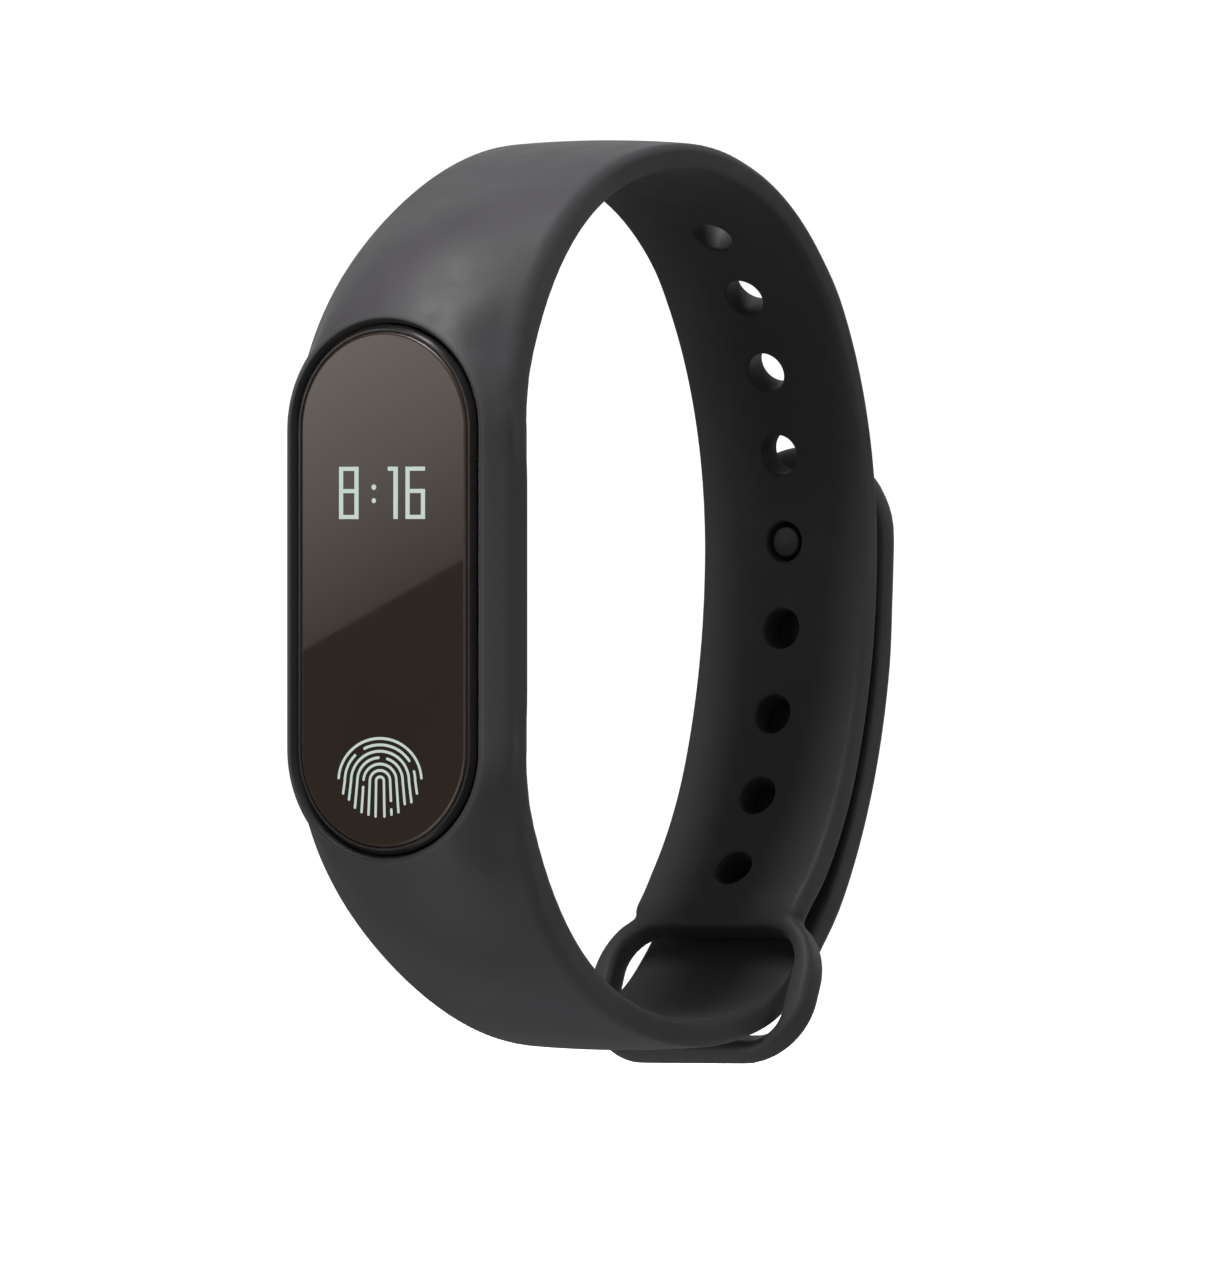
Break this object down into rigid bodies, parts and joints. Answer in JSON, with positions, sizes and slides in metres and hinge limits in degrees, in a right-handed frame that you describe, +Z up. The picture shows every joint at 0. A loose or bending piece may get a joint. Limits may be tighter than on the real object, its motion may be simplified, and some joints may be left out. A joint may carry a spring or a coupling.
{
  "type": "fitness tracker band",
  "caption": "Silicone wrist strap worn closed, holding a removable capsule tracker with a flat glass face, a keeper loop and a stud clasp in a row of holes.",
  "frame": {"origin": "centre of the wrist opening, on the wrist's axis and the strap's middle plane", "axes": "+Y along the wrist, +Z up with the band on edge, the tracker's glass faces -X"},
  "size_m": [0.0636, 0.0196, 0.0718],
  "materials": {
    "strap_silicone": "matte",
    "stud": "satin",
    "front_glass": "gloss",
    "case_gloss": "gloss",
    "case_matte": "satin",
    "seal_rubber": "matte",
    "adhesive": "matte",
    "display_stack": "gloss",
    "flex_circuit": "satin",
    "circuit_board": "satin",
    "chip_black": "matte",
    "ceramic_part": "matte",
    "steel": "satin",
    "battery_foil": "satin",
    "foam": "matte",
    "wire_sleeve": "satin",
    "magnet": "satin",
    "tungsten": "satin",
    "led_resin": "gloss",
    "sensor_window": "gloss",
    "gold_contact": "satin"
  },
  "bodies": {
    "band": {"strap": "strap_silicone"},
    "tail_middle": {"strap_tail_middle": "strap_silicone"},
    "tail_tip": {"strap_tail_tip": "strap_silicone", "clasp_stud": "stud"},
    "tracker": {"front_glass": "front_glass", "glass_adhesive": "adhesive", "upper_case": "case_gloss", "case_seal": "seal_rubber", "lower_case": "case_matte", "display_panel": "display_stack", "display_flex": "flex_circuit", "touch_electrode": "flex_circuit", "main_board": "circuit_board", "board_screws": "steel", "bluetooth_chip": "chip_black", "charger_chip": "chip_black", "motion_sensor": "chip_black", "timing_crystal": "steel", "chip_capacitors": "ceramic_part", "antenna": "ceramic_part", "battery_foam": "foam", "battery_cell": "battery_foil", "battery_leads": "wire_sleeve", "motor_case": "steel", "motor_base": "steel", "motor_magnet": "magnet", "motor_shaft": "steel", "sensor_board": "circuit_board", "sensor_flex": "flex_circuit", "green_leds": "led_resin", "photodiode": "chip_black", "light_barrier": "foam", "sensor_lens": "sensor_window", "charge_contacts": "gold_contact", "contact_springs": "gold_contact"},
    "vibration_weight": {"motor_rotor": "tungsten"}
  },
  "joints": [
    {"name": "tail_tip_bend", "type": "hinge", "parent": "tail_middle", "child": "tail_tip", "pos_m": [0.02918, 0, -0.01398], "axis": [0, 1, 0], "range_deg": [0, 50], "stiffness_Nm_per_rad": 0.002},
    {"name": "tail_root_bend", "type": "hinge", "parent": "band", "child": "tail_middle", "pos_m": [0.02253, 0, -0.02657], "axis": [0, 1, 0], "range_deg": [0, 25], "stiffness_Nm_per_rad": 0.002},
    {"name": "tracker_release", "type": "slide", "parent": "band", "child": "tracker", "axis": [-1, 0, 0], "range_m": [0, 0.014]},
    {"name": "motor_spin", "type": "hinge", "parent": "tracker", "child": "vibration_weight", "pos_m": [-0.026, 0, 0.0136], "axis": [1, 0, 0], "continuous": true}
  ],
  "couplings": [
    {"joint": "tail_root_bend", "follows": "tail_tip_bend", "ratio": 0.5}
  ]
}
